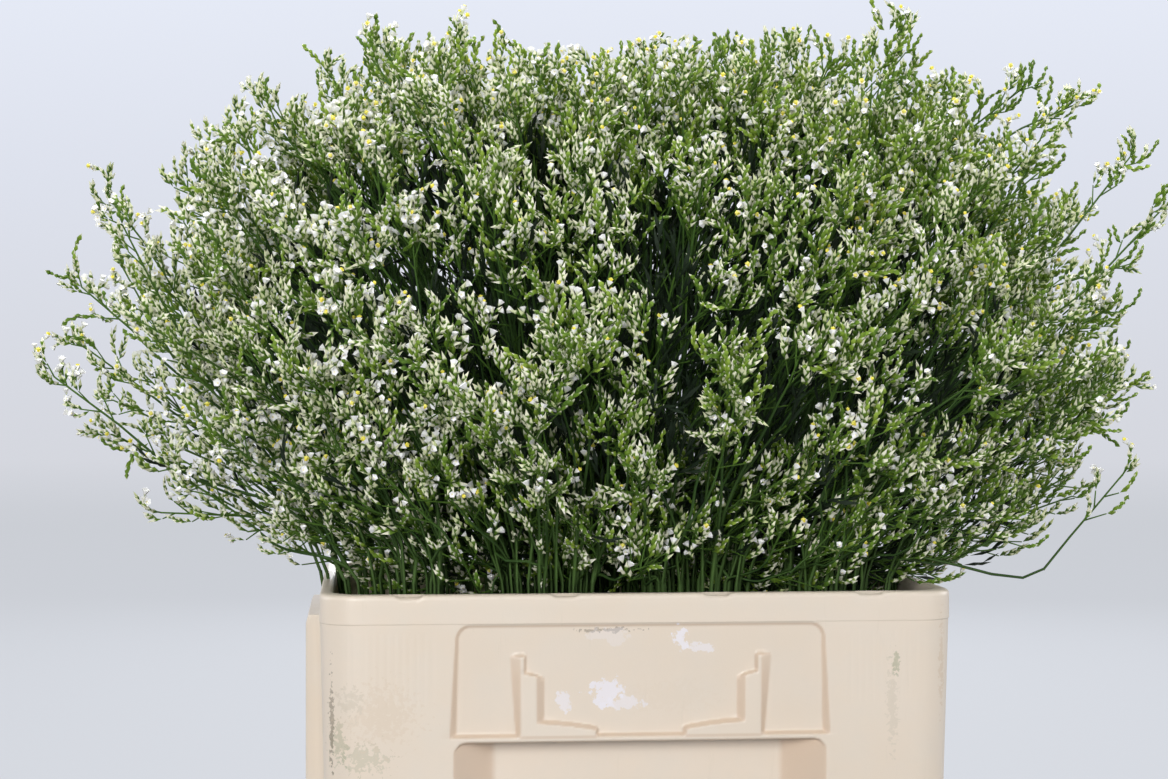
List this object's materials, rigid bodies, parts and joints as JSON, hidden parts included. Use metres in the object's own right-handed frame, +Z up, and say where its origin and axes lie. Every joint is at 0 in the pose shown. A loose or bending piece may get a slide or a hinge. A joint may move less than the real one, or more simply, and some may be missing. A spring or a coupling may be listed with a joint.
{
  "type": "bucket of cut statice flowers",
  "caption": "Mass of branching white and yellow statice heads on green stems, standing upright in water in a rectangular cream plastic flower bucket.",
  "frame": {"origin": "middle of the bucket's flat underside", "axes": "+Z up, +X along the bucket's long side, the bucket's front faces -Y"},
  "size_m": [0.7682, 0.574, 0.7086],
  "materials": {
    "bucket_plastic": "cream moulded polypropylene, satin, scuffed",
    "water": "clear standing water, slightly green",
    "stems": "cut green stems, fibrous, slightly waxy",
    "statice": "papery white calyxes and yellow corollas on green stems, matte"
  },
  "bodies": {
    "root": {"bucket": "bucket_plastic", "water": "water", "stems_01": "stems", "statice_01": "statice", "stems_02": "stems", "statice_02": "statice", "stems_03": "stems", "statice_03": "statice", "stems_04": "stems", "statice_04": "statice", "stems_05": "stems", "statice_05": "statice", "stems_06": "stems", "statice_06": "statice", "stems_07": "stems", "statice_07": "statice", "stems_08": "stems", "statice_08": "statice", "stems_09": "stems", "statice_09": "statice", "stems_10": "stems", "statice_10": "statice", "stems_11": "stems", "statice_11": "statice", "stems_12": "stems", "statice_12": "statice", "stems_13": "stems", "statice_13": "statice"}
  },
  "joints": []
}
